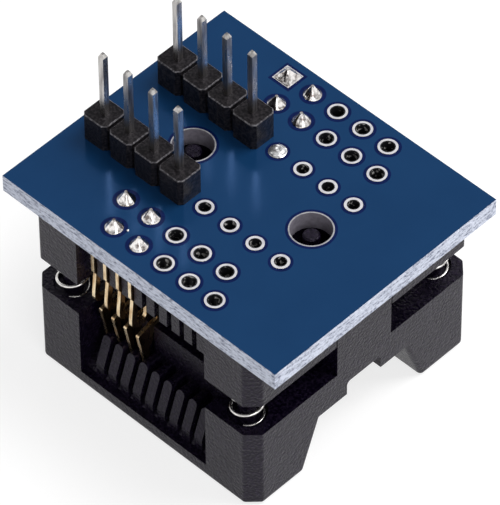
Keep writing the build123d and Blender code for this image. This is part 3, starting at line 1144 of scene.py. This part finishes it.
@dataclass
class SolderWork:
    """Solder cones on the contact tails, the filled header hole and a stray bead."""

    maker: Maker
    holes: HoleGrid
    foot: float = 0.73 * MM
    square_foot: float = 0.79 * MM
    height: float = 0.90 * MM
    least_height: float = 0.92
    most_height: float = 1.08
    lobe_counts: tuple[float, ...] = (2, 2.5, 3)
    seed: int = 7
    bead: Place = (-3.34 * MM, -9.29 * MM)
    bead_radius: float = 0.10 * MM
    bead_lift: float = 0.6
    bead_meridians: int = 16
    bead_parallels: int = 10
    button: tuple[Place, ...] = (
        (0.63 * MM, 0.00 * MM),
        (0.61 * MM, 0.10 * MM),
        (0.52 * MM, 0.20 * MM),
        (0.40 * MM, 0.27 * MM),
        (0.26 * MM, 0.31 * MM),
        (0.14 * MM, 0.29 * MM),
        (0.05 * MM, 0.25 * MM),
    )
    button_lobes: float = 3
    button_phase: float = 0.8
    button_swell: float = 0.05
    button_waves: float = 9000
    top: float = field(init=False)

    def __post_init__(self) -> None:
        """Read the level of the board's upper face."""
        self.top = top_of("board")

    def build(self) -> None:
        """Make the cones, the button on the filled hole and the bead."""
        self.cones()
        self.maker.dress(["filled_hole_solder"], Finish.DULL_SOLDER)
        self.filled_hole()
        self.stray_bead()

    def cones(self) -> None:
        """A drawn-up cone of solder on every live contact."""
        shape = bmesh.new()
        draw = random.Random(self.seed)
        for place in self.holes.live_contact_holes():
            square = place == self.holes.first_pad()
            cone = SolderCone(
                foot=self.square_foot if square else self.foot,
                height=self.height * draw.uniform(self.least_height, self.most_height),
                phase=draw.uniform(0, 2 * math.pi),
                lobes=draw.choice(self.lobe_counts),
                square=square,
            )
            lathe(shape, (*place, self.top), cone.profile(), wobble=cone.reach)
        piece = self.maker.piece(
            "contact_solder_cones", shape, Finish.SOLDER, Slot.SOLDER, ROUND_SMOOTH
        )
        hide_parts("contact_solder")

    def swell(self, angle: float, level: float) -> float:
        """Factor on the button's radius, for its shallow lobes.

        Args:
            angle: Angle round the axis.
            level: Height over the board.

        Returns:
            The factor.
        """
        lobe = math.sin(self.button_lobes * angle + self.button_phase)
        return 1 + self.button_swell * lobe * math.sin(level * self.button_waves)

    def filled_hole(self) -> None:
        """The dimpled button of solder on the filled header hole."""
        shape = bmesh.new()
        centre = (*self.holes.filled_hole(), self.top)
        lathe(shape, centre, self.button, wobble=self.swell)
        self.maker.piece(
            "filled_hole_button", shape, Finish.DULL_SOLDER, Slot.SOLDER, ROUND_SMOOTH
        )

    def stray_bead(self) -> None:
        """The small bead of solder beside one cone."""
        shape = bmesh.new()
        middle = (*self.bead, self.top + self.bead_radius * self.bead_lift)
        bmesh.ops.create_uvsphere(
            shape,
            u_segments=self.bead_meridians,
            v_segments=self.bead_parallels,
            radius=self.bead_radius,
            matrix=Matrix.Translation(middle),
        )
        self.maker.piece("solder_bead", shape, Finish.DULL_SOLDER, Slot.SOLDER)


@dataclass
class Socket:
    """The socket's base, cover, contacts and coil springs."""

    maker: Maker
    holes: HoleGrid
    plastic_edge: float = 0.09 * MM
    contact_edge: float = 0.05 * MM
    wire: float = 0.125 * MM
    turns: float = 5.0
    closed_turns: float = 0.3
    first_angle: float = math.radians(300)
    stroke: float = 2.25 * MM
    steps_per_turn: int = 30
    corners: tuple[str, ...] = ("front_left", "front_right", "rear_left", "rear_right")

    def build(self) -> None:
        """Dress the moulded pieces and contacts, and coil the springs."""
        self.maker.dress(["socket_base", "socket_cover"], Finish.SOCKET_PLASTIC, self.plastic_edge)
        for stem in ("contact", "contact_arm"):
            for row in Row:
                names = row.numbered(stem, self.holes.contact_live)
                self.maker.dress(names, Finish.GOLD, self.contact_edge)
        for corner in self.corners:
            self.spring(corner)

    def rise(self, turn: float, length: float) -> float:
        """Height of the wire's middle over the coil's foot; both ends lie nearly flat.

        Args:
            turn: Turns from the foot.
            length: Height between the ends of the wire's middle.

        Returns:
            The height.
        """
        closed = self.closed_turns
        end_rise = 2 * self.wire * closed
        if turn < closed:
            return end_rise * (turn / closed) ** 2 * 0.5
        if turn > self.turns - closed:
            return length - end_rise * ((self.turns - turn) / closed) ** 2 * 0.5
        share = (turn - closed) / (self.turns - 2 * closed)
        return end_rise * 0.5 + (length - end_rise) * share

    def coil(self, low: Point, high: Point) -> list[Vector]:
        """Path of one spring's wire.

        Args:
            low: Lowest corner of the spring's box.
            high: Highest corner of the spring's box.

        Returns:
            Points along the middle of the wire, from the foot up.
        """
        centre = Vector(((low[0] + high[0]) / 2, (low[1] + high[1]) / 2, low[2] + self.wire))
        radius = (high[0] - low[0]) / 2 - self.wire
        length = high[2] - low[2] - 2 * self.wire
        steps = int(self.turns * self.steps_per_turn)
        path = []
        for step in range(steps + 1):
            turn = self.turns * step / steps
            angle = self.first_angle + 2 * math.pi * turn
            spoke = (radius * math.cos(angle), radius * math.sin(angle), self.rise(turn, length))
            path.append(centre + Vector(spoke))
        return path

    def spring(self, corner: str) -> None:
        """Coil one spring in the place of its node.

        Args:
            corner: Corner of the socket that it stands in.
        """
        node = f"spring_{corner}"
        low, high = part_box(node)
        shape = bmesh.new()
        tube(shape, self.coil(low, high), self.wire)
        coil = self.maker.piece(f"coil_{corner}", shape, Finish.SPRING, Slot.SPRING, ROUND_SMOOTH)
        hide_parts(node)
        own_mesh(coil)


@dataclass
class PhotoCamera:
    """The camera that took the picture: a long lens above the front right."""

    place: Point = (194.95 * MM, -198.81 * MM, 323.43 * MM)
    right: Point = (0.71836, 0.69564, -0.00587)
    down: Point = (0.51718, -0.53968, -0.66428)
    ahead: Point = (-0.46527, 0.47416, -0.74746)
    focal_pixels: float = 5691.0
    long_side_pixels: float = 505.0
    sensor: float = 36.0
    nearest: float = 10 * MM

    def build(self) -> None:
        """Put the camera in the scene."""
        camera = bpy.data.cameras.new("photo_camera")
        camera.sensor_width = self.sensor
        camera.lens = self.focal_pixels / self.long_side_pixels * self.sensor
        camera.clip_start = self.nearest
        obj = bpy.data.objects.new("photo_camera", camera)
        columns = (Vector(self.right), -Vector(self.down), -Vector(self.ahead))
        turn = Matrix([list(row) for row in zip(*columns)]).to_4x4()
        obj.matrix_world = Matrix.Translation(Vector(self.place)) @ turn
        bpy.context.scene.collection.objects.link(obj)
        bpy.context.scene.camera = obj


@dataclass(frozen=True)
class Lamp:
    """One soft white area lamp, aimed at the object."""

    name: str
    place: Point
    size: float
    power: float
    aim: Point = (0.0, 0.0, 12 * MM)

    def build(self) -> None:
        """Hang the lamp."""
        light = bpy.data.lights.new(self.name, "AREA")
        light.shape = "SQUARE"
        light.size = self.size
        light.energy = self.power
        obj = bpy.data.objects.new(self.name, light)
        obj.location = self.place
        direction = Vector(self.aim) - Vector(self.place)
        obj.rotation_euler = direction.to_track_quat("-Z", "Y").to_euler()
        bpy.context.scene.collection.objects.link(obj)


@dataclass
class Studio:
    """Pale floor, soft lamps and a plain background."""

    floor_half: float = 1.5
    floor_pale: Colour = (0.93, 0.93, 0.93)
    floor_mottle: float = 0.985
    floor_noise: Noise = Noise(40, 2)
    floor_roughness: float = 0.9
    floor_specular: float = 0.1
    floor_glow: float = 0.74
    floor_share: float = 0.36
    gloss_glow: float = 0.52
    gloss_share: float = 0.50
    ambient: float = 0.42
    sky_white: Colour = (1.0, 1.0, 1.0)
    sky_white_until: float = 0.48
    sky_dark: Colour = (0.42, 0.42, 0.42)
    sky_dark_from: float = 0.60
    lamps: tuple[Lamp, ...] = (
        Lamp("key_lamp", (0.22, 0.34, 0.68), 0.45, 4.6),
        Lamp("fill_lamp", (0.62, -0.28, 0.45), 0.40, 1.7),
    )

    def build(self) -> None:
        """Set up the floor, the lamps, the background and the camera."""
        bpy.context.scene.view_settings.view_transform = "Standard"
        self.floor()
        for lamp in self.lamps:
            lamp.build()
        self.background()
        PhotoCamera().build()

    def floor(self) -> None:
        """The pale floor that takes the object's shadow."""
        shape = bmesh.new()
        bmesh.ops.create_grid(shape, x_segments=1, y_segments=1, size=self.floor_half)
        mesh = bpy.data.meshes.new("studio_floor")
        shape.to_mesh(mesh)
        shape.free()
        floor = bpy.data.objects.new("studio_floor", mesh)
        bpy.context.scene.collection.objects.link(floor)
        paint = Paint("studio_floor_paint")
        mottle = tuple(self.floor_mottle * channel for channel in self.floor_pale)
        stops = [(NOISE_LOW, mottle), (NOISE_HIGH, self.floor_pale)]
        paint.feed(Base_Color=paint.ramp(paint.noise(self.floor_noise), stops))
        paint.set(Roughness=self.floor_roughness, Specular_IOR_Level=self.floor_specular)
        self.whiten(paint)
        floor.data.materials.append(paint.material)

    def whiten(self, paint: Paint) -> None:
        """Show the floor white to the camera, to gloss and through glass, with its shadow kept.

        Args:
            paint: The floor's sheet; its shader goes on lighting the object.
        """
        paths = paint.add("ShaderNodeLightPath").outputs
        gloss = paths["Is Glossy Ray"]
        glow = paint.add("ShaderNodeEmission")
        shadowed = paint.add("ShaderNodeBsdfDiffuse")
        paint.link(paint.switch(gloss, self.floor_glow, self.gloss_glow), glow.inputs["Strength"])
        paint.link(paint.switch(gloss, self.floor_share, self.gloss_share), shadowed.inputs["Color"])
        shown = paint.add("ShaderNodeAddShader")
        paint.link(glow.outputs["Emission"], shown.inputs[0])
        paint.link(shadowed.outputs["BSDF"], shown.inputs[1])
        direct = paint.reckon("MAXIMUM", paths["Is Camera Ray"], gloss)
        seen = paint.reckon("MAXIMUM", direct, paths["Is Transmission Ray"])
        choice = paint.choose(seen, paint.shader.outputs["BSDF"], shown.outputs["Shader"])
        paint.link(choice, paint.tree.nodes["Material Output"].inputs["Surface"])

    def background(self) -> None:
        """A white background for the camera; gloss sees white low down and dark overhead."""
        world = bpy.data.worlds.new("studio_world")
        bpy.context.scene.world = world
        world.use_nodes = True
        world.node_tree.nodes.clear()
        sheet = NodeSheet(world.node_tree)
        split = sheet.add("ShaderNodeSeparateXYZ")
        sheet.link(sheet.coordinates.outputs["Generated"], split.inputs["Vector"])
        stops = [(self.sky_white_until, self.sky_white), (self.sky_dark_from, self.sky_dark)]
        glossy = sheet.add("ShaderNodeBackground", Strength=1.0)
        sheet.link(sheet.ramp(split.outputs["Z"], stops), glossy.inputs["Color"])
        ambient = sheet.add("ShaderNodeBackground", Strength=self.ambient)
        white = sheet.add("ShaderNodeBackground", Color=(*self.sky_white, 1.0), Strength=1.0)
        paths = sheet.add("ShaderNodeLightPath").outputs
        lit = sheet.choose(
            paths["Is Glossy Ray"], ambient.outputs["Background"], glossy.outputs["Background"]
        )
        seen = sheet.reckon("MAXIMUM", paths["Is Camera Ray"], paths["Is Transmission Ray"])
        shown = sheet.choose(seen, lit, white.outputs["Background"])
        sheet.link(shown, sheet.add("ShaderNodeOutputWorld").inputs["Surface"])


def main() -> None:
    """Build and dress the adapter, piece by piece."""
    logging.basicConfig(level=logging.INFO, format="%(name)s: %(message)s")
    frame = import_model()
    maker = Maker(frame["nodes"])
    holes = HoleGrid()
    Board(maker, holes).build()
    Headers(maker, holes).build()
    SolderWork(maker, holes).build()
    Socket(maker, holes).build()
    Studio().build()


if __name__ == "__main__":
    main()
